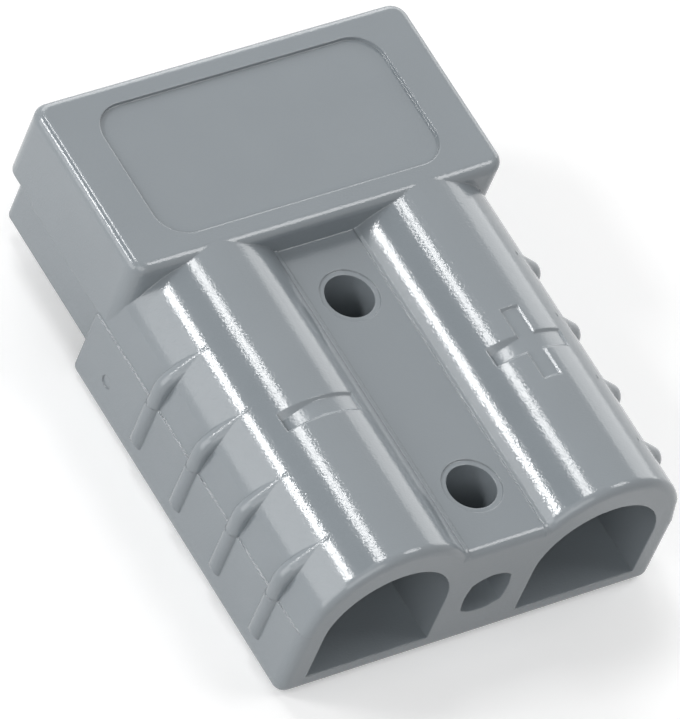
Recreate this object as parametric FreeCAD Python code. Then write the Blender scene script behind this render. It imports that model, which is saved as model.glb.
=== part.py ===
import FreeCAD, Part
import os
from math import asin, cos, radians, sin, sqrt, tan

os.makedirs("parts", exist_ok=True)
V = FreeCAD.Vector

# Genderless two-pole power connector, in mm. While it is modelled, Y runs from the cable face (0)
# to the mouth of the hood, X is centred between the poles and Z = 0 is the underside.
# A second connector, turned half a turn about X, mates with this one on the mid-height plane.

# Overall size
LENGTH = 50.0
WIDTH = 36.6
HEIGHT = 16.0

# Wire cavities, and the web between them
WIRE_CAVITY_W = 11.75
WIRE_CAVITY_FLOOR = 1.95
WIRE_CAVITY_SPRING_Z = 7.4
CHANNEL_HALF_W = 4.2
CHANNEL_FLOOR = 13.0
CHANNEL_STRIP_HALF_W = 3.7
CHANNEL_SHOULDER = 0.15
WEB_POCKET_HALF_W = 1.9
WEB_POCKET_BOW = 0.25
WEB_POCKET_Z = (4.6, 8.0)
WEB_POCKET_ARCH = (0.65, 0.8)
WEB_POCKET_DEPTH = 3.0

# Mounting holes through the web
HOLE_D = 4.3
HOLE_REAR_Y = 6.1
HOLE_SPACING = 20.0
HOLE_RING_W = 0.45
HOLE_RING_DEPTH = 0.12

# Hood, and the tongue that enters the hood of the mating connector
HOOD_LENGTH = 18.05
HOOD_INSET = 0.15
HOOD_SIDE_WALL = 1.1
HOOD_TOP_WALL = 2.0
HOOD_EDGE_R = 0.9
HOOD_CORNER_R = 1.5
HOOD_CAVITY_R = 0.6
HOOD_RELIEF_LENGTH = 4.5
HOOD_RELIEF = 0.3
MOUTH_CHAMFER = 0.4
END_WALL = 2.0
TONGUE_SETBACK = 0.8
TONGUE_NOSE_R = 0.8
TONGUE_TOP_GAP = 0.2
MATING_GAP = 0.2
TROUGH_FLOOR_T = 1.2
TONGUE_LIP_T = 0.9
TONGUE_LIP_DROP = 2.4

# Recessed label panel on top of the hood
PANEL_MARGIN_X = 4.35
PANEL_MARGIN_Y = 2.2
PANEL_DEPTH = 0.35
PANEL_CORNER_R = 2.8

# Outside rounding, parting ledge and grip ribs
BODY_EDGE_R = 1.1
BARREL_END_R = 0.8
STEP_R = 1.5
FLANK_H = 3.0
RIB_COUNT = 4
RIB_PITCH = 6.58
RIB_FIRST_Y = 4.9
RIB_R = 0.75
RIB_PROUD = 0.55
RIB_BOTTOM_Z = 2.6
RIB_UPRIGHT = 1.6
RIB_LEAN = 47.0
RIB_TIP_ANGLE = 52.0
RIB_TIP_PROUD = 0.01
RIB_STEP = 0.06
PIN_MARK_R = 0.6
PIN_MARK_DEPTH = 0.12
PIN_MARK_Y = 30.2
PIN_MARK_Z = 3.7

# Contacts and their leaf springs
BLADE_W = 9.6
BLADE_T = 2.0
BLADE_SIDE_GAP = 0.25
CRIMP_OD = 8.0
CRIMP_ID = 5.8
CRIMP_LENGTH = 12.7
CRIMP_BORE_DEPTH = 11.2
CRIMP_REAR_Y = 12.5
NECK_LENGTH = 4.2
NOSE_R = 2.6
NOSE_DROP = 3.4
NOSE_GAP = 0.3
INSPECTION_HOLE_D = 1.8
SPRING_W = 7.6
SPRING_T = 0.5
SPRING_FOOT = 1.6

# Positions that follow from the sizes above
MID = HEIGHT / 2
BODY_X = WIDTH / 2
UPPER_X = BODY_X - HOOD_INSET
BARREL_R = HEIGHT - MID
POLE_X = UPPER_X - BARREL_R
CAVITY_R = WIRE_CAVITY_W / 2
HOOD_Y = LENGTH - HOOD_LENGTH
TONGUE_END = LENGTH - TONGUE_SETBACK
TONGUE_X = UPPER_X - HOOD_SIDE_WALL - MATING_GAP
TONGUE_BOTTOM = HOOD_TOP_WALL + MATING_GAP
TONGUE_TOP = MID - TONGUE_TOP_GAP
TONGUE_LENGTH = HOOD_LENGTH - END_WALL - TONGUE_SETBACK - MATING_GAP
STEP_Y = TONGUE_END - TONGUE_LENGTH
HOOD_CAVITY_Y = HOOD_Y + END_WALL + MATING_GAP
TROUGH_FLOOR = TONGUE_BOTTOM + TROUGH_FLOOR_T
TROUGH_X = BLADE_W / 2 + BLADE_SIDE_GAP
TROUGH_END = TONGUE_END - TONGUE_LIP_T
BLADE_Z = MID - BLADE_T / 2
NECK_Y = CRIMP_REAR_Y + CRIMP_LENGTH
BLADE_Y = NECK_Y + NECK_LENGTH
BLADE_END = TROUGH_END - NOSE_GAP


def box(x0, x1, y0, y1, z0, z1):
    return Part.makeBox(x1 - x0, y1 - y0, z1 - z0, V(x0, y0, z0))


def line(a, b):
    return Part.makeLine(V(*a), V(*b))


def arc(a, b, c):
    return Part.Arc(V(*a), V(*b), V(*c)).toShape()


def prism(edges, direction):
    return Part.Face(Part.Wire(edges)).extrude(V(*direction))


def round_edges(shape, radius, keep):
    edges = [e for e in shape.Edges if keep(e.BoundBox, e)]
    return shape.makeFillet(radius, edges)


def along_y(b):
    return b.YLength > 0.5 and b.XLength < 0.01 and b.ZLength < 0.01


def along_z(b):
    return b.ZLength > 0.5 and b.XLength < 0.01 and b.YLength < 0.01


def lower_body():
    # Plain lower half, rounded along the underside and up the cable-end corners.
    shape = box(-BODY_X, BODY_X, 0, STEP_Y, 0, MID)

    def outer(b, e):
        upright = along_z(b) and b.YMax < 0.01
        under = b.ZMax < 0.01 and (along_y(b) or b.YMax < 0.01)
        return upright or under
    shape = round_edges(shape, BODY_EDGE_R, outer)
    step = box(-BODY_X, BODY_X, STEP_Y - STEP_R, STEP_Y, 0, STEP_R)
    core = Part.makeCylinder(STEP_R, WIDTH, V(-BODY_X, STEP_Y - STEP_R, STEP_R), V(1, 0, 0))
    return shape.cut(step.cut(core))


def barrel(side):
    # Half-round housing over one wire cavity, with a drafted flank below the arc.
    top = sqrt(BARREL_R ** 2 - FLANK_H ** 2)
    flank = (POLE_X + top, 0, MID + FLANK_H)
    crest = (POLE_X, 0, MID + BARREL_R)
    inner = (POLE_X - BARREL_R, 0, MID)
    edges = [
        line((UPPER_X, 0, MID), flank),
        arc(flank, crest, inner),
        line(inner, (UPPER_X, 0, MID)),
    ]
    shape = prism(edges, (0, HOOD_Y + END_WALL, 0))

    def rear_outline(b, e):
        return b.YMax < 0.01 and b.ZMax > MID + 0.5
    shape = round_edges(shape, BARREL_END_R, rear_outline)
    if side < 0:
        shape = shape.mirror(V(0, 0, 0), V(1, 0, 0))
    return shape


def web_slab(x0, x1, top):
    # Slab up to one height, with its top edge rounded at the cable face.
    r = BARREL_END_R
    s = r * (1 - sqrt(0.5))
    y1 = HOOD_Y + 1
    edges = [
        line((x0, 0, MID), (x0, 0, top - r)),
        arc((x0, 0, top - r), (x0, s, top - s), (x0, r, top)),
        line((x0, r, top), (x0, y1, top)),
        line((x0, y1, top), (x0, y1, MID)),
        line((x0, y1, MID), (x0, 0, MID)),
    ]
    return prism(edges, (x1 - x0, 0, 0))


def web():
    # Bridge between the barrels: its top is the floor of the open channel, with a shoulder each side.
    shoulder = CHANNEL_FLOOR + CHANNEL_SHOULDER
    floor = web_slab(-CHANNEL_HALF_W, CHANNEL_HALF_W, CHANNEL_FLOOR)
    left = web_slab(-CHANNEL_HALF_W, -CHANNEL_STRIP_HALF_W, shoulder)
    right = web_slab(CHANNEL_STRIP_HALF_W, CHANNEL_HALF_W, shoulder)
    return floor.fuse([left, right])


def web_pocket():
    # Coring pocket between the wire cavities, with all four sides bowed outwards.
    w = WEB_POCKET_HALF_W
    bow = w + WEB_POCKET_BOW
    z0, z1 = WEB_POCKET_Z
    low, high = WEB_POCKET_ARCH
    mid = (z0 + z1) / 2
    edges = [
        arc((w, 0, z0), (bow, 0, mid), (w, 0, z1)),
        arc((w, 0, z1), (0, 0, z1 + high), (-w, 0, z1)),
        arc((-w, 0, z1), (-bow, 0, mid), (-w, 0, z0)),
        arc((-w, 0, z0), (0, 0, z0 - low), (w, 0, z0)),
    ]
    return prism(edges, (0, WEB_POCKET_DEPTH, 0))


def wire_cavity(side):
    # D-shaped cavity for one wire, open at the cable face and narrowed to the blade at the end wall.
    x = side * POLE_X
    r = CAVITY_R
    z0, z1 = WIRE_CAVITY_FLOOR, WIRE_CAVITY_SPRING_Z
    edges = [
        line((x - r, 0, z0), (x + r, 0, z0)),
        line((x + r, 0, z0), (x + r, 0, z1)),
        arc((x + r, 0, z1), (x, 0, z1 + r), (x - r, 0, z1)),
        line((x - r, 0, z1), (x - r, 0, z0)),
    ]
    bore = prism(edges, (0, HOOD_CAVITY_Y - END_WALL, 0))
    slot = box(x - TROUGH_X, x + TROUGH_X, HOOD_CAVITY_Y - END_WALL - 1, HOOD_CAVITY_Y + 1,
               TROUGH_FLOOR, MID + 4 * TONGUE_TOP_GAP)
    return bore.fuse(slot)


def rounded_block(x, y0, y1, z0, z1, corner_r):
    shape = box(-x, x, y0, y1, z0, z1)
    return round_edges(shape, corner_r, lambda b, e: along_z(b))


def hood():
    # Closed-top shell over the contacts; its side walls end on the mating plane.
    shape = rounded_block(UPPER_X, HOOD_Y, LENGTH, MID, HEIGHT, HOOD_CORNER_R)
    shape = round_edges(shape, HOOD_EDGE_R, lambda b, e: b.ZMin > HEIGHT - 0.01)
    relief = box(-BODY_X, BODY_X, LENGTH - HOOD_RELIEF_LENGTH, LENGTH + 1, MID - 1, MID + HOOD_RELIEF)
    return shape.cut(relief)


def hood_cavity():
    x = UPPER_X - HOOD_SIDE_WALL
    z = HEIGHT - HOOD_TOP_WALL
    c = MOUTH_CHAMFER
    room = box(-x, x, HOOD_CAVITY_Y, LENGTH + 1, TONGUE_TOP, z)
    room = round_edges(room, HOOD_CAVITY_R, lambda b, e: along_y(b) and b.ZMin > z - 0.01)
    inside = [(-x, z), (x, z), (x, TONGUE_TOP), (-x, TONGUE_TOP)]
    outside = [(-x - c, z + c), (x + c, z + c), (x + c, TONGUE_TOP), (-x - c, TONGUE_TOP)]
    near = Part.makePolygon([V(px, LENGTH - c, pz) for px, pz in inside + inside[:1]])
    far = Part.makePolygon([V(px, LENGTH, pz) for px, pz in outside + outside[:1]])
    flare = Part.makeLoft([near, far], True, True)
    return room.fuse(flare)


def tongue():
    # Tray that carries the two contacts and springs.
    shape = box(-TONGUE_X, TONGUE_X, STEP_Y - 3, TONGUE_END, TONGUE_BOTTOM, TONGUE_TOP)

    def front(b, e):
        upright = along_z(b) and b.YMin > TONGUE_END - 0.01
        under = b.ZMax < TONGUE_BOTTOM + 0.01 and b.YMin > TONGUE_END - 0.01
        return upright or under
    shape = round_edges(shape, TONGUE_NOSE_R, front)
    keel = box(-TONGUE_X, TONGUE_X, HOOD_Y, HOOD_CAVITY_Y, TONGUE_TOP - 1, MID + 0.5)
    return shape.fuse(keel)


def trough(side):
    x = side * POLE_X
    lip = TONGUE_TOP - TONGUE_LIP_DROP
    deep = box(x - TROUGH_X, x + TROUGH_X, HOOD_CAVITY_Y - 1, TROUGH_END, TROUGH_FLOOR, MID + 0.3)
    notch = box(x - TROUGH_X, x + TROUGH_X, TROUGH_END - 1, TONGUE_END + 1, lip, MID + 0.3)
    return deep.fuse(notch)


def rib(side, index):
    # Grip rib: upright over the flank, then bent over so that its crest skims the barrel.
    y = RIB_FIRST_Y + index * RIB_PITCH
    crest = BODY_X + RIB_PROUD
    lean = radians(RIB_LEAN)
    bend_z = MID + RIB_UPRIGHT
    reach = (crest - POLE_X) * cos(lean) + RIB_UPRIGHT * sin(lean)
    bend_r = (BARREL_R + RIB_TIP_PROUD - reach) / (1 - cos(lean))
    core_r = bend_r - RIB_R
    tip_x = crest - bend_r + core_r * cos(lean)
    tip_z = bend_z + core_r * sin(lean)
    past = BARREL_R * tan(radians(RIB_TIP_ANGLE) - lean)
    run = (tip_x - POLE_X) * sin(lean) - (tip_z - MID) * cos(lean) + past

    x = crest - RIB_R
    section = Part.makeCircle(RIB_R, V(x, y, bend_z))
    section.rotate(V(x, y, bend_z), V(0, 0, 1), 180)
    bend = Part.Face(Part.Wire(section)).revolve(V(crest - bend_r, y, bend_z), V(0, -1, 0), RIB_LEAN)
    upper = [
        Part.makeCylinder(RIB_R, RIB_UPRIGHT, V(x, y, MID)),
        bend,
        Part.makeCylinder(RIB_R, run, V(tip_x, y, tip_z), V(-sin(lean), 0, cos(lean))),
    ]

    low_x = x + RIB_STEP
    low_z = RIB_BOTTOM_Z + RIB_R
    corner = box(low_x, low_x + RIB_R, y - RIB_R, y + RIB_R, RIB_BOTTOM_Z, low_z)
    corner = corner.cut(Part.makeCylinder(RIB_R, 2 * RIB_R, V(low_x, y - RIB_R, low_z), V(0, 1, 0)))
    lower = Part.makeCylinder(RIB_R, MID - RIB_BOTTOM_Z, V(low_x, y, RIB_BOTTOM_Z)).cut(corner)
    shape = lower.fuse(upper)
    if side < 0:
        shape = shape.mirror(V(0, 0, 0), V(1, 0, 0))
    return shape


def mounting_hole(index):
    y = HOLE_REAR_Y + index * HOLE_SPACING
    r = HOLE_D / 2
    shape = Part.makeCylinder(r, HEIGHT + 2, V(0, y, -1))
    ring = Part.makeCylinder(r + HOLE_RING_W, 1, V(0, y, CHANNEL_FLOOR - HOLE_RING_DEPTH))
    return shape.fuse(ring)


def label_panel():
    x = UPPER_X - PANEL_MARGIN_X
    y0 = HOOD_Y + PANEL_MARGIN_Y
    y1 = LENGTH - PANEL_MARGIN_Y
    return rounded_block(x, y0, y1, HEIGHT - PANEL_DEPTH, HEIGHT + 1, PANEL_CORNER_R)


def housing():
    shape = lower_body().fuse([barrel(1), barrel(-1), web(), hood(), tongue()])
    ribs = [rib(side, i) for side in (-1, 1) for i in range(RIB_COUNT)]
    shape = shape.fuse(ribs)
    cuts = [hood_cavity(), web_pocket(), label_panel()]
    for side in (-1, 1):
        cuts.append(wire_cavity(side))
        cuts.append(trough(side))
        mark = V(side * BODY_X, PIN_MARK_Y, PIN_MARK_Z)
        cuts.append(Part.makeCylinder(PIN_MARK_R, PIN_MARK_DEPTH, mark, V(-side, 0, 0)))
    for i in range(2):
        cuts.append(mounting_hole(i))
    for c in cuts:
        shape = shape.cut(c)
    return shape.removeSplitter()


def neck(x, z):
    # Tube end pressed flat: two tapering flats down to the blade, which flares out to its full width.
    r = CRIMP_OD / 2
    w = BLADE_W / 2
    t = BLADE_T / 2
    y0, y1 = NECK_Y, BLADE_Y
    wedge = [(y0, r), (y1, t), (y1, -t), (y0, -r)]
    side_view = Part.makePolygon([V(x - r, y, z + h) for y, h in wedge + wedge[:1]])
    flats = Part.Face(side_view).extrude(V(2 * r, 0, 0))
    tube = Part.makeCylinder(r, NECK_LENGTH, V(x, y0, z), V(0, 1, 0)).common(flats)
    flare = [(y0, r * sqrt(0.5)), (y1, w), (y1, -w), (y0, -r * sqrt(0.5))]
    plan = Part.makePolygon([V(x + h, y, z - t) for y, h in flare + flare[:1]])
    return tube.fuse(Part.Face(plan).extrude(V(0, 0, BLADE_T)))


def contact(side):
    # Silver-plated copper contact: crimp barrel, flattened neck, flat blade with a turned-down nose.
    x = side * POLE_X
    z = BLADE_Z
    r = CRIMP_OD / 2
    w = BLADE_W / 2
    t = BLADE_T / 2
    tube = Part.makeCylinder(r, CRIMP_LENGTH, V(x, CRIMP_REAR_Y, z), V(0, 1, 0))
    top = z + t
    under = z - t
    outer = NOSE_R
    inner = NOSE_R - BLADE_T
    tip = top - NOSE_DROP
    end = BLADE_END
    bend_y = end - outer
    s = sqrt(0.5)
    profile = [
        line((x - w, BLADE_Y, under), (x - w, BLADE_Y, top)),
        line((x - w, BLADE_Y, top), (x - w, bend_y, top)),
        arc((x - w, bend_y, top), (x - w, bend_y + outer * s, top - outer + outer * s),
            (x - w, end, top - outer)),
        line((x - w, end, top - outer), (x - w, end, tip)),
        line((x - w, end, tip), (x - w, end - BLADE_T, tip)),
        line((x - w, end - BLADE_T, tip), (x - w, end - BLADE_T, top - outer)),
        arc((x - w, end - BLADE_T, top - outer),
            (x - w, bend_y + inner * s, under - inner + inner * s), (x - w, bend_y, under)),
        line((x - w, bend_y, under), (x - w, BLADE_Y, under)),
    ]
    blade = prism(profile, (BLADE_W, 0, 0))
    shape = tube.fuse([neck(x, z), blade])
    bore = Part.makeCylinder(CRIMP_ID / 2, CRIMP_BORE_DEPTH, V(x, CRIMP_REAR_Y, z), V(0, 1, 0))
    peep_y = CRIMP_REAR_Y + CRIMP_BORE_DEPTH - INSPECTION_HOLE_D
    peep = Part.makeCylinder(INSPECTION_HOLE_D / 2, r + 1, V(x, peep_y, z))
    return shape.cut(bore).cut(peep).removeSplitter()


def leaf_spring(side):
    # Bowed stainless leaf: feet on the floor of the trough, crown under the blade.
    x = side * POLE_X - SPRING_W / 2
    low = TROUGH_FLOOR
    t = SPRING_T
    y0 = HOOD_CAVITY_Y + 0.1
    y1 = BLADE_END - BLADE_T - 0.5
    a = (y1 - y0) / 2 - SPRING_FOOT
    rise = BLADE_Z - BLADE_T / 2 - low - t
    r = (a ** 2 + rise ** 2) / (4 * rise)
    turn = asin(a / 2 / r)
    ym = (y0 + y1) / 2
    ya, yb = ym - a, ym + a
    zf = low + t / 2 + r
    zc = low + t / 2 + rise - r

    def foot_point(yc, sign, radius, angle):
        return (x, yc + sign * radius * sin(angle), zf - radius * cos(angle))

    def crown_point(radius, angle):
        return (x, ym + radius * sin(angle), zc + radius * cos(angle))

    def skin(up):
        # One face of the leaf, from the rear foot to the front foot.
        rf = r - up * t / 2
        rc = r + up * t / 2
        z = low + t / 2 + up * t / 2
        start = foot_point(ya, 1, rf, 0)
        first = foot_point(ya, 1, rf, turn)
        last = foot_point(yb, -1, rf, turn)
        stop = foot_point(yb, -1, rf, 0)
        return [
            line((x, y0, z), start),
            arc(start, foot_point(ya, 1, rf, turn / 2), first),
            arc(crown_point(rc, -turn), crown_point(rc, 0), crown_point(rc, turn)),
            arc(last, foot_point(yb, -1, rf, turn / 2), stop),
            line(stop, (x, y1, z)),
        ]
    ends = [line((x, y0, low), (x, y0, low + t)), line((x, y1, low), (x, y1, low + t))]
    edges = Part.sortEdges(skin(1) + skin(-1) + ends)[0]
    return prism(edges, (SPRING_W, 0, 0))


def export(name, shape):
    shape = shape.copy()
    shape.translate(V(0, -LENGTH / 2, 0))
    if shape.ShapeType != "Solid":
        shape = shape.Solids[0]
    shape.exportStep("parts/" + name + ".step")
    b = shape.BoundBox
    print(name, "valid", shape.isValid(), "volume", round(shape.Volume, 1),
          "x", round(b.XMin, 2), round(b.XMax, 2), "y", round(b.YMin, 2), round(b.YMax, 2),
          "z", round(b.ZMin, 2), round(b.ZMax, 2))


body = housing()
print("housing solids", len(body.Solids))
export("housing", body)
for side, word in ((-1, "left"), (1, "right")):
    export(word + "_contact", contact(side))
    export(word + "_spring", leaf_spring(side))
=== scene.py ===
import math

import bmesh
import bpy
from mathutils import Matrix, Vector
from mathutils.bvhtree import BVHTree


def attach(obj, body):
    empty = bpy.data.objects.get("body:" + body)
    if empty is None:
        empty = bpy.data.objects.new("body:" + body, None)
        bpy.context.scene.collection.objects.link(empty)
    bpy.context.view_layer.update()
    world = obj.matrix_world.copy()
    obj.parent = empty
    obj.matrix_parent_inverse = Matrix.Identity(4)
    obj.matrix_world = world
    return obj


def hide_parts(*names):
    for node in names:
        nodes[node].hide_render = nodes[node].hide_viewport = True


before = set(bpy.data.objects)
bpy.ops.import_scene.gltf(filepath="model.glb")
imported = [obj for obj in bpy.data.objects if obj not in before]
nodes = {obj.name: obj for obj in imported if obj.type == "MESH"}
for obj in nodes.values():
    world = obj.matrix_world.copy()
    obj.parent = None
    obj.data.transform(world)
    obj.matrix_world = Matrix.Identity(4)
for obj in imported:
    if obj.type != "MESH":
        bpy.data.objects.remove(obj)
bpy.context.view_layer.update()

# %% [markdown]
# # A genderless power connector
#
# The real object is a block of glossy grey plastic about as long as a thumb. It came out of one
# injection mould, with two half-round barrels for the wires, a channel with two screw holes between
# them, and a rectangular hood that covers the contacts. The solids come from CAD and are only
# dressed here: the plastic gets its gloss, its two signs and its light.

MM = 0.001
print("nodes:", ", ".join(sorted(nodes)))

# %% [markdown]
# Three helpers are used all through the lesson. Colours are written as the hex values that a
# picture editor shows, and Blender wants them linear. The second helper puts an object with its
# data into the scene. The third adds one node to a shader or geometry tree. Each input of the node
# is given a plain value, a socket, or another node, and then the first output of that node is
# meant.

# %% Helpers for colours, objects and nodes
def colour(hex_value):
    channels = [int(hex_value[i:i + 2], 16) / 255 for i in (1, 3, 5)]
    linear = [c / 12.92 if c <= 0.04045 else ((c + 0.055) / 1.055) ** 2.4 for c in channels]
    return (*linear, 1.0)


def put(name, data):
    thing = bpy.data.objects.new(name, data)
    bpy.context.collection.objects.link(thing)
    return thing


def add(tree, kind, inputs=None, **settings):
    node = tree.nodes.new(kind)
    for name, value in settings.items():
        setattr(node, name, value)
    for name, value in (inputs or {}).items():
        if isinstance(value, bpy.types.Node):
            value = value.outputs[0]
        if isinstance(value, bpy.types.NodeSocket):
            tree.links.new(value, node.inputs[name])
        else:
            node.inputs[name].default_value = value
    return node


print("mid grey in linear light:", [round(c, 3) for c in colour("#808080")[:3]])

# %% [markdown]
# The photograph was taken with a long lens from above the cable end, and a little to the left. The
# camera was also rolled by about 25 degrees, so the connector stands on the diagonal of the frame.
# A constraint could aim the camera, but it can't give the roll as a plain number. A camera is a
# place and three directions, so we take the direction from the object back to the camera, turn it,
# and step back along it. The lens was measured in pixels of the picture, and Blender wants it in
# millimetres, for a sensor that is 36 mm wide.

# %% Camera
VIEW_AZIMUTH = -49.85
VIEW_ELEVATION = 49.24
VIEW_ROLL = 24.87
VIEW_DISTANCE = 851 * MM
AIM = Vector((-0.55, -1.25, 7.5)) * MM
FOCAL_PIXELS = 10486.6
LONG_SIDE_PIXELS = 719
SENSOR = 36.0
NEAREST_SEEN = 10 * MM


def direction(azimuth, elevation):
    a, e = math.radians(azimuth), math.radians(elevation)
    return Vector((math.sin(a) * math.cos(e), -math.cos(a) * math.cos(e), math.sin(e)))


back = direction(VIEW_AZIMUTH, VIEW_ELEVATION)
level = Vector((0, 0, 1)).cross(back).normalized()
upright = back.cross(level)
roll = math.radians(VIEW_ROLL)
right = level * math.cos(roll) + upright * math.sin(roll)
up = upright * math.cos(roll) - level * math.sin(roll)
turn = Matrix((right, up, back)).transposed()

camera = put("camera", bpy.data.cameras.new("camera"))
camera.data.sensor_width = SENSOR
camera.data.lens = FOCAL_PIXELS / LONG_SIDE_PIXELS * SENSOR
camera.data.clip_start = NEAREST_SEEN
camera.matrix_world = Matrix.Translation(AIM + back * VIEW_DISTANCE) @ turn.to_4x4()
bpy.context.scene.camera = camera
print("lens in mm:", round(camera.data.lens, 1))

# %% [markdown]
# The part lies on white paper, which melts into the background and still takes a soft shadow. A
# plain matt white would come out grey away from the lamps. A faint glow lifts it, and a Light Path
# node shows that glow only to the lens and to mirrored rays, so it doesn't light the part from
# below.

# %% Floor
MATHS = "ShaderNodeMath"
FLOOR_HALF = 1.5
FLOOR_GLOW = 0.25
FLOOR_GAP = 0.01 * MM


def new_material(name):
    material = bpy.data.materials.new(name)
    material.use_nodes = True
    material.node_tree.nodes.clear()
    return material, material.node_tree


def shows_to_eye(tree):
    # 1 for a ray from the lens or from a reflection, and 0 for one that only gathers light.
    path = add(tree, "ShaderNodeLightPath").outputs
    mirrored = add(tree, MATHS, {0: path["Is Camera Ray"], 1: path["Is Glossy Ray"]},
                   operation="MAXIMUM")
    return add(tree, MATHS, {0: mirrored, 1: path["Is Transmission Ray"]}, operation="MAXIMUM")


def flat_sheet(name, corners, material):
    mesh = bpy.data.meshes.new(name)
    mesh.from_pydata(corners, [], [(0, 1, 2, 3)])
    mesh.materials.append(material)
    return put(name, mesh)


floor_material, tree = new_material("white_studio_floor")
matt = add(tree, "ShaderNodeBsdfDiffuse", {"Color": colour("#e0e0e0")})
white = add(tree, "ShaderNodeBsdfDiffuse", {"Color": colour("#f4f4f4")})
glow = add(tree, "ShaderNodeEmission", {"Color": colour("#ffffff"), "Strength": FLOOR_GLOW})
lifted = add(tree, "ShaderNodeAddShader", {0: white, 1: glow})
mix = add(tree, "ShaderNodeMixShader", {0: shows_to_eye(tree), 1: matt, 2: lifted})
add(tree, "ShaderNodeOutputMaterial", {"Surface": mix})

corners = [(x * FLOOR_HALF, y * FLOOR_HALF, -FLOOR_GAP)
           for x, y in ((-1, -1), (1, -1), (1, 1), (-1, 1))]
floor = flat_sheet("floor", corners, floor_material)
print("floor side in m:", FLOOR_HALF * 2)

# %% [markdown]
# Seven lamps light the part. A glossy cylinder mirrors a narrow lamp as a thin bright line, which
# is what tells the eye that the barrels are round, so two strips hang along them. A panel overhead
# draws bright lines on the rounded rear edges. Four wide fills, one for each side, set how bright
# the flat faces are. A sun or a point lamp has no width to mirror, so all of them are area lamps.

# %% Lamps
LAMP_DISTANCE = 0.9


def facing_part(towards, distance):
    # The place and turn of a flat thing that faces the part, with its long side along Y.
    face = Vector(towards).normalized()
    side = Vector((0, 1, 0)).cross(face).normalized()
    axes = Matrix((side, face.cross(side), face)).transposed()
    return Matrix.Translation(face * distance) @ axes.to_4x4()


def lamp(name, towards, width, length, radiance):
    # Sizes are in metres. The power follows from how bright the face of the lamp is.
    data = bpy.data.lights.new(name, "AREA")
    data.shape = "RECTANGLE"
    data.size = width
    data.size_y = length
    data.energy = radiance * width * length * math.pi
    put(name, data).matrix_world = facing_part(towards, LAMP_DISTANCE)
    print(name, "power in W:", round(data.energy, 2))


lamp("left_strip", (-0.668, 0.421, 0.609), 0.12, 0.22, 21.0)
lamp("top_strip", (-0.089, 0.421, 0.904), 0.14, 0.22, 12.5)
lamp("overhead_panel", (0.50, -0.10, 0.86), 0.32, 0.38, 5.0)
lamp("left_fill", (-0.94, 0.05, 0.30), 0.60, 0.90, 2.3)
lamp("right_fill", (0.88, 0.42, 0.18), 0.55, 0.60, 1.9)
lamp("back_fill", (0.32, 0.84, 0.40), 0.75, 0.45, 2.9)
lamp("front_fill", (-0.38, -0.65, 0.66), 0.70, 0.60, 1.55)

# %% [markdown]
# Between its two bright lines each barrel shows a darker band. Light can't make that: it is a black
# card that hangs between the two strips and is mirrored with them. Photographers hang such cards
# too, because in a white studio a glossy thing has nothing dark to mirror. It is covered with
# velvet, which swallows the light and has no shine of its own. It hangs a little farther out than
# the lamps, so it never hides one.

# %% Black card
CARD_WIDTH = 0.38
CARD_LENGTH = 0.30
CARD_DISTANCE = LAMP_DISTANCE * 1.02

card_material, tree = new_material("black_velvet_card")
velvet = add(tree, "ShaderNodeBsdfDiffuse", {"Color": colour("#0c0c0c")})
add(tree, "ShaderNodeOutputMaterial", {"Surface": velvet})

hung = facing_part((-0.406, 0.421, 0.811), CARD_DISTANCE)
corners = [hung @ Vector((x * CARD_WIDTH / 2, y * CARD_LENGTH / 2, 0))
           for x, y in ((-1, -1), (-1, 1), (1, 1), (1, -1))]
card = flat_sheet("black_card", corners, card_material)
print("card in m:", CARD_WIDTH, "by", CARD_LENGTH)

# %% [markdown]
# Round the part is a white room. Full white light from every side would wash out the shadows and
# the form with them. So the room is white only to the lens and to mirrored rays, as the floor is,
# and to all others it gives a low light that keeps the cavities from going black.

# %% World
ROOM_LIGHT = 0.08

world = bpy.data.worlds.new("studio")
world.use_nodes = True
bpy.context.scene.world = world
tree = world.node_tree
strength = add(tree, MATHS, {0: shows_to_eye(tree), 1: ROOM_LIGHT}, operation="MAXIMUM")
background = tree.nodes["Background"]
background.inputs["Color"].default_value = colour("#ffffff")
tree.links.new(strength.outputs[0], background.inputs["Strength"])
bpy.context.scene.view_settings.view_transform = "Standard"
print("light of the room:", ROOM_LIGHT)

# %% [markdown]
# The housing is polycarbonate, moulded in a polished tool. Its skin is a cool mid grey with a clear
# gloss, so highlights are bright and narrow. It isn't a perfect mirror. The polishing of the tool
# left fine marks that run round the barrels, which fray the edges of a highlight, and the plastic
# sinks a little as it cools, which makes a highlight wander. Both are too shallow to model, so two
# bump patterns bend the light instead. A Bevel node rounds each sharp edge for the light only, as
# every moulded edge is slightly round.
#
# The bottoms of the signs were spark-eroded in the tool and are a little duller. An attribute named
# "sunk" marks them.

# %% Glossy polycarbonate
POLYCARBONATE_IOR = 1.585
POLISH_MARK = 0.27 * MM      # real marks are finer: these are as coarse as they need to be to show
POLISH_DEPTH = 0.014 * MM
POLISH_STRETCH = (1, 1.8, 1)
SINK_WIDTH = 5 * MM
SINK_DEPTH = 0.02 * MM
EDGE_RADIUS = 0.18 * MM

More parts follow.
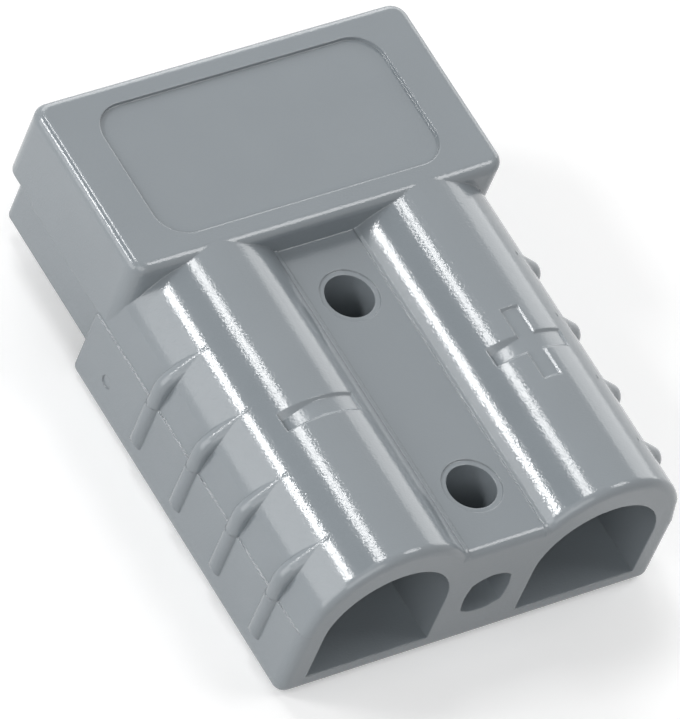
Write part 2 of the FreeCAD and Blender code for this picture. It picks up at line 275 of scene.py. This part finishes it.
plastic, tree = new_material("moulded_polycarbonate_gloss_grey")
place = add(tree, "ShaderNodeTexCoord").outputs["Object"]
stretch = add(tree, "ShaderNodeMapping", {"Vector": place, "Scale": POLISH_STRETCH})
grain = add(tree, "ShaderNodeTexNoise",
            {"Vector": stretch, "Scale": 1 / POLISH_MARK, "Detail": 2.0}).outputs["Fac"]
sink = add(tree, "ShaderNodeTexNoise",
           {"Vector": place, "Scale": 1 / SINK_WIDTH, "Detail": 1.0}).outputs["Fac"]
edge = add(tree, "ShaderNodeBevel", {"Radius": EDGE_RADIUS}, samples=6)
waves = add(tree, "ShaderNodeBump",
            {"Height": sink, "Strength": 0.5, "Distance": SINK_DEPTH, "Normal": edge})
skin = add(tree, "ShaderNodeBump",
           {"Height": grain, "Strength": 1.0, "Distance": POLISH_DEPTH, "Normal": waves})
tint = add(tree, "ShaderNodeMix",
           {"Factor": sink, "A": colour("#888f94"), "B": colour("#8c9398")}, data_type="RGBA")
gloss = add(tree, "ShaderNodeMapRange", {"Value": grain, "To Min": 0.07, "To Max": 0.13})
sunk = add(tree, "ShaderNodeAttribute", attribute_name="sunk").outputs["Fac"]
finish = add(tree, "ShaderNodeMix", {"Factor": sunk, "A": gloss, "B": 0.17})
surface = add(tree, "ShaderNodeBsdfPrincipled",
              {"Base Color": tint.outputs["Result"], "Roughness": finish,
               "IOR": POLYCARBONATE_IOR, "Normal": skin})
add(tree, "ShaderNodeOutputMaterial", {"Surface": surface})
print("material:", plastic.name)

# %% [markdown]
# The minus and plus signs are sunk into the crests of the barrels. Modelled by hand, each would be
# cut and fitted to the round on its own. Their three bars repeat one shape, so geometry nodes make
# them from a few named sizes: one bar lies across each barrel, and one more stands along the right
# one.
#
# The mesh from CAD is loose triangles. A copy is merged first, because only a closed body can be
# cut.

# %% Merge a copy of the body
MERGE_WITHIN = 0.001 * MM

cad_mesh = nodes["housing"].data
bm = bmesh.new()
bm.from_mesh(cad_mesh)
bmesh.ops.remove_doubles(bm, verts=bm.verts, dist=MERGE_WITHIN)
open_edges = sum(1 for e in bm.edges if len(e.link_faces) != 2)
merged = bpy.data.meshes.new("housing_merged")
bm.to_mesh(merged)
bm.free()
blank = put("housing_blank", merged)
print("triangles:", len(merged.polygons), "open edges:", open_edges)

# %% [markdown]
# The tree gets one named input for each size. A sign's place is given by the axis of its barrel and
# a small shift to the right. "Deepen" says how much deeper the left end of a bar is, "Slope" how
# far its far wall leans in there, and "Draft" how far all its walls lean in, as a mould needs.

# %% Sizes of the signs
MARK_SIZES = {"Axis X": 10.15, "Axis Z": 8.0, "Barrel Radius": 8.0, "Shift X": 0.25,
              "Place Y": -9.5, "Bar Length": 7.3, "Bar Width": 1.85, "Depth": 0.2,
              "Deepen": 0.38, "Slope": 0.45, "Draft": 0.2}

marks = bpy.data.node_groups.new("polarity_marks", "GeometryNodeTree")
marks.interface.new_socket("Geometry", in_out="INPUT", socket_type="NodeSocketGeometry")
marks.interface.new_socket("Geometry", in_out="OUTPUT", socket_type="NodeSocketGeometry")
identifiers = {}
for name in MARK_SIZES:
    socket = marks.interface.new_socket(name, in_out="INPUT", socket_type="NodeSocketFloat")
    identifiers[name] = socket.identifier
given = add(marks, "NodeGroupInput").outputs
print("named sizes:", len(identifiers))

# %% [markdown]
# A bar is a box with three layers of corners: its bottom, its middle and its top. The bottom layer
# is drawn in on all four sides, so the walls below the middle lean. A side that is drawn in at both
# its ends keeps 1 - 2 * draft / length of itself, and multiplying each place by that share does it.

# %% A bar with leaning walls
VECTORS = "ShaderNodeVectorMath"
BAR_HEIGHT = 1 * MM
BAR_CUTS = {"Vertices X": 25, "Vertices Y": 2, "Vertices Z": 3}
LAYER_LIMIT = BAR_HEIGHT / 4


def drafted_bar(length_x, length_y):
    box = add(marks, "ShaderNodeCombineXYZ", {"X": length_x, "Y": length_y, "Z": BAR_HEIGHT})
    block = add(marks, "GeometryNodeMeshCube", {"Size": box, **BAR_CUTS})
    corner = add(marks, "GeometryNodeInputPosition")
    z = add(marks, "ShaderNodeSeparateXYZ", {0: corner}).outputs["Z"]
    is_bottom = add(marks, MATHS, {0: z, 1: -LAYER_LIMIT}, operation="LESS_THAN")
    draft = add(marks, "ShaderNodeCombineXYZ", {"X": given["Draft"], "Y": given["Draft"]})
    inset = add(marks, VECTORS, {0: draft, "Scale": is_bottom}, operation="SCALE")
    share = add(marks, VECTORS, {0: inset, 1: box}, operation="DIVIDE")
    shrink = add(marks, VECTORS, {0: share, 1: (-2, -2, -2), 2: (1, 1, 1)},
                 operation="MULTIPLY_ADD")
    drawn_in = add(marks, VECTORS, {0: corner, 1: shrink}, operation="MULTIPLY")
    return add(marks, "GeometryNodeSetPosition", {"Geometry": block, "Position": drawn_in})


print("height of a bar in mm:", BAR_HEIGHT / MM)

# %% [markdown]
# Then the bar is bent to follow the barrel. Its middle layer lies on the skin, which falls away
# from the crest as a circle does, its bottom is the floor of the sign, and its top stays clear
# above. Towards the left the floor gets deeper, and its far edge comes nearer.

# %% Bend a bar over the barrel
def bend(bar):
    corner = add(marks, "GeometryNodeInputPosition")
    x, y, z = add(marks, "ShaderNodeSeparateXYZ", {0: corner}).outputs
    is_bottom = add(marks, MATHS, {0: z, 1: -LAYER_LIMIT}, operation="LESS_THAN")
    is_top = add(marks, MATHS, {0: z, 1: LAYER_LIMIT}, operation="GREATER_THAN")
    is_far = add(marks, MATHS, {0: y, 1: 0.0}, operation="GREATER_THAN")

    radius = given["Barrel Radius"]
    from_axis = add(marks, MATHS, {0: x, 1: given["Shift X"]}, operation="ADD")
    x_squared = add(marks, MATHS, {0: from_axis, 1: from_axis}, operation="MULTIPLY")
    radius_squared = add(marks, MATHS, {0: radius, 1: radius}, operation="MULTIPLY")
    z_squared = add(marks, MATHS, {0: radius_squared, 1: x_squared}, operation="SUBTRACT")
    above_axis = add(marks, MATHS, {0: z_squared}, operation="SQRT")
    skin_z = add(marks, MATHS, {0: above_axis, 1: radius}, operation="SUBTRACT")

    twice_left = add(marks, MATHS, {0: from_axis, 1: -2.0}, operation="MULTIPLY")
    share = add(marks, MATHS, {0: twice_left, 1: given["Bar Length"]}, operation="DIVIDE")
    leftward = add(marks, MATHS, {0: share, 1: 0.0}, operation="MAXIMUM")
    depth = add(marks, MATHS, {0: leftward, 1: given["Deepen"], 2: given["Depth"]},
                operation="MULTIPLY_ADD")
    sunk_by = add(marks, MATHS, {0: is_bottom, 1: depth}, operation="MULTIPLY")
    raised = add(marks, MATHS, {0: is_top, 1: BAR_HEIGHT, 2: skin_z}, operation="MULTIPLY_ADD")
    new_z = add(marks, MATHS, {0: raised, 1: sunk_by}, operation="SUBTRACT")

    slides = add(marks, MATHS, {0: is_far, 1: is_bottom}, operation="MULTIPLY")
    slope = add(marks, MATHS, {0: leftward, 1: given["Slope"]}, operation="MULTIPLY")
    nearer_by = add(marks, MATHS, {0: slides, 1: slope}, operation="MULTIPLY")
    new_y = add(marks, MATHS, {0: y, 1: nearer_by}, operation="SUBTRACT")
    bent = add(marks, "ShaderNodeCombineXYZ", {"X": x, "Y": new_y, "Z": new_z})
    return add(marks, "GeometryNodeSetPosition", {"Geometry": bar, "Position": bent})


lying = bend(drafted_bar(given["Bar Length"], given["Bar Width"]))
standing = bend(drafted_bar(given["Bar Width"], given["Bar Length"]))
print("nodes for the bars:", len(marks.nodes))

# %% [markdown]
# The lying bar is put on a point on each crest, the standing one only on the right, and all three
# are cut out of the body. The exact solver is used, because the two bars of the plus cross. The
# faces of the bars carry the attribute "sunk" into the cut.

# %% Place the bars and cut them out
crest = add(marks, MATHS, {0: given["Axis Z"], 1: given["Barrel Radius"]}, operation="ADD")
left_x = add(marks, MATHS, {0: given["Shift X"], 1: given["Axis X"]}, operation="SUBTRACT")
right_x = add(marks, MATHS, {0: given["Shift X"], 1: given["Axis X"]}, operation="ADD")
left_crest, right_crest = [
    add(marks, "ShaderNodeCombineXYZ", {"X": x, "Y": given["Place Y"], "Z": crest})
    for x in (left_x, right_x)]
apart = add(marks, MATHS, {0: given["Axis X"], 1: 2.0}, operation="MULTIPLY")
step = add(marks, "ShaderNodeCombineXYZ", {"X": apart})
crests = add(marks, "GeometryNodeMeshLine",
             {"Count": 2, "Start Location": left_crest, "Offset": step})
two_lying = add(marks, "GeometryNodeInstanceOnPoints", {"Points": crests, "Instance": lying})
one_standing = add(marks, "GeometryNodeTransform",
                   {"Geometry": standing, "Translation": right_crest})
bars = add(marks, "GeometryNodeJoinGeometry")
for piece in (two_lying, one_standing):
    marks.links.new(piece.outputs[0], bars.inputs[0])
real = add(marks, "GeometryNodeRealizeInstances", {"Geometry": bars})
tagged = add(marks, "GeometryNodeStoreNamedAttribute",
             {"Geometry": real, "Name": "sunk", "Value": 1.0}, data_type="FLOAT", domain="FACE")
cut = add(marks, "GeometryNodeMeshBoolean",
          {"Mesh 1": given["Geometry"], "Mesh 2": tagged, "Self Intersection": True},
          operation="DIFFERENCE", solver="EXACT")
dressed = add(marks, "GeometryNodeSetMaterial", {"Geometry": cut, "Material": plastic})
add(marks, "NodeGroupOutput", {0: dressed})
print("nodes in the tree:", len(marks.nodes))

# %% [markdown]
# A modifier runs the tree on the merged copy. Its sizes are set by the identifier of each input,
# and its result is kept as a plain mesh, so that nothing has to be worked out again later.

# %% Run the tree
modifier = blank.modifiers.new("polarity_marks", "NODES")
modifier.node_group = marks
for name, value in MARK_SIZES.items():
    modifier[identifiers[name]] = value * MM
graph = bpy.context.evaluated_depsgraph_get()
shape = bpy.data.meshes.new_from_object(blank.evaluated_get(graph))
blank.modifiers.clear()
bpy.data.objects.remove(blank)
shape.name = "housing_marked"
print("polygons after the cut:", len(shape.polygons))

# %% [markdown]
# Cutting loses the smooth normals that CAD gave to the round faces. Shading the body smooth by
# angle would bring back most of them, but a highlight shows the small differences. So each face is
# first matched to the triangle of the old mesh that it lies on. A face that lies on none was cut
# new.

# %% Match each face to the old mesh
TOUCHING = 0.0005 * MM
SAME_WAY = 0.999

old_points = [v.co.copy() for v in cad_mesh.vertices]
old_faces = BVHTree.FromPolygons(old_points, [list(p.vertices) for p in cad_mesh.polygons])


def face_under(face):
    for _, normal, index, _ in old_faces.find_nearest_range(face.center, TOUCHING):
        if normal.dot(face.normal) > SAME_WAY:
            return index
    return None


lies_on = [face_under(face) for face in shape.polygons]
cut_at = {}
for face in shape.polygons:
    if lies_on[face.index] is None:
        for vertex in face.vertices:
            cut_at.setdefault(vertex, []).append(face)
print("faces cut new:", lies_on.count(None))

# %% [markdown]
# Each corner of a matched face takes its normal from the three corners of the old triangle, mixed
# by how near it is to each. A face that was cut new is smoothed with its new neighbours where they
# turn by less than 30 degrees, so a sign's floor is round and its walls stay sharp.

# %% Give the normals back
SMOOTH_BELOW = math.cos(math.radians(30))
NO_AREA = 1e-30

old_normals = [Vector(n.vector) for n in cad_mesh.corner_normals]


def shares(point, a, b, c):
    # How much each corner of the triangle counts at the point. They add up to 1.
    ab, ac, ap = b - a, c - a, point - a
    d00, d01, d11 = ab.dot(ab), ab.dot(ac), ac.dot(ac)
    d20, d21 = ap.dot(ab), ap.dot(ac)
    area = d00 * d11 - d01 * d01
    if abs(area) < NO_AREA:
        return 1.0, 0.0, 0.0
    v = (d11 * d20 - d01 * d21) / area
    w = (d00 * d21 - d01 * d20) / area
    return 1.0 - v - w, v, w


def old_normal(point, index):
    triangle = cad_mesh.polygons[index]
    parts = shares(point, *[old_points[i] for i in triangle.vertices])
    mixed = [old_normals[k] * part for k, part in zip(triangle.loop_indices, parts)]
    return sum(mixed, Vector()).normalized()


def cut_normal(face, vertex):
    near = [f for f in cut_at[vertex] if f.normal.dot(face.normal) > SMOOTH_BELOW]
    return sum((f.normal * f.area for f in near), Vector()).normalized()


normals = [None] * len(shape.loops)
for face in shape.polygons:
    index = lies_on[face.index]
    for loop, vertex in zip(face.loop_indices, face.vertices):
        if index is None:
            normals[loop] = cut_normal(face, vertex)
        else:
            normals[loop] = old_normal(shape.vertices[vertex].co, index)
shape.polygons.foreach_set("use_smooth", [True] * len(shape.polygons))
shape.normals_split_custom_set(normals)
print("corners with a normal:", len(normals))

# %% [markdown]
# The new body now stands for the CAD housing. It stays on the same body of the part, keeps the same
# material slot, and sits at the origin with its place in its mesh, as the CAD nodes do.

# %% Stand in for the CAD housing
marked = put("housing_with_marks", shape)
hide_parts("housing")
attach(marked, "root")

# %% [markdown]
# The contacts are copper with a plating of silver. It came from a plating barrel, where the pieces
# rub on each other, so it is slightly warm in colour and satin all over, with no direction. The
# springs under them are stainless strip, as rolled: a little darker and greyer, with faint lines
# along the rolling. A plain metal would do from afar. Noise in the colour and the roughness keeps
# the flat blades from looking drawn, and one function serves both, as only the numbers differ.

# %% Metal finishes
METAL_GRAIN = 0.4 * MM
METAL_EDGE = 0.1 * MM
NO_DIRECTION = (1, 1, 1)
ROLLED_ALONG_Y = (4, 0.3, 1)


def metal(name, light, dark, smoothest, roughest, stretch):
    material, tree = new_material(name)
    place = add(tree, "ShaderNodeTexCoord").outputs["Object"]
    stretched = add(tree, "ShaderNodeMapping", {"Vector": place, "Scale": stretch})
    noise = add(tree, "ShaderNodeTexNoise",
                {"Vector": stretched, "Scale": 1 / METAL_GRAIN, "Detail": 4.0}).outputs["Fac"]
    tone = add(tree, "ShaderNodeMix",
               {"Factor": noise, "A": colour(dark), "B": colour(light)}, data_type="RGBA")
    rough = add(tree, "ShaderNodeMapRange",
                {"Value": noise, "To Min": smoothest, "To Max": roughest})
    edge = add(tree, "ShaderNodeBevel", {"Radius": METAL_EDGE}, samples=4)
    surface = add(tree, "ShaderNodeBsdfPrincipled",
                  {"Base Color": tone.outputs["Result"], "Metallic": 1.0, "Roughness": rough,
                   "Normal": edge})
    add(tree, "ShaderNodeOutputMaterial", {"Surface": surface})
    return material


silver = metal("silver_plated_copper_satin", "#e9e6df", "#e4e1d9", 0.25, 0.29, NO_DIRECTION)
steel = metal("rolled_stainless_strip", "#c9c7c2", "#bdbbb6", 0.26, 0.33, ROLLED_ALONG_Y)
finishes = {"housing": plastic, "left_contact": silver, "right_contact": silver,
            "left_spring": steel, "right_spring": steel}
for name, material in finishes.items():
    for material_slot in nodes[name].material_slots:
        material_slot.material = material
print("materials:", ", ".join(sorted({material.name for material in finishes.values()})))
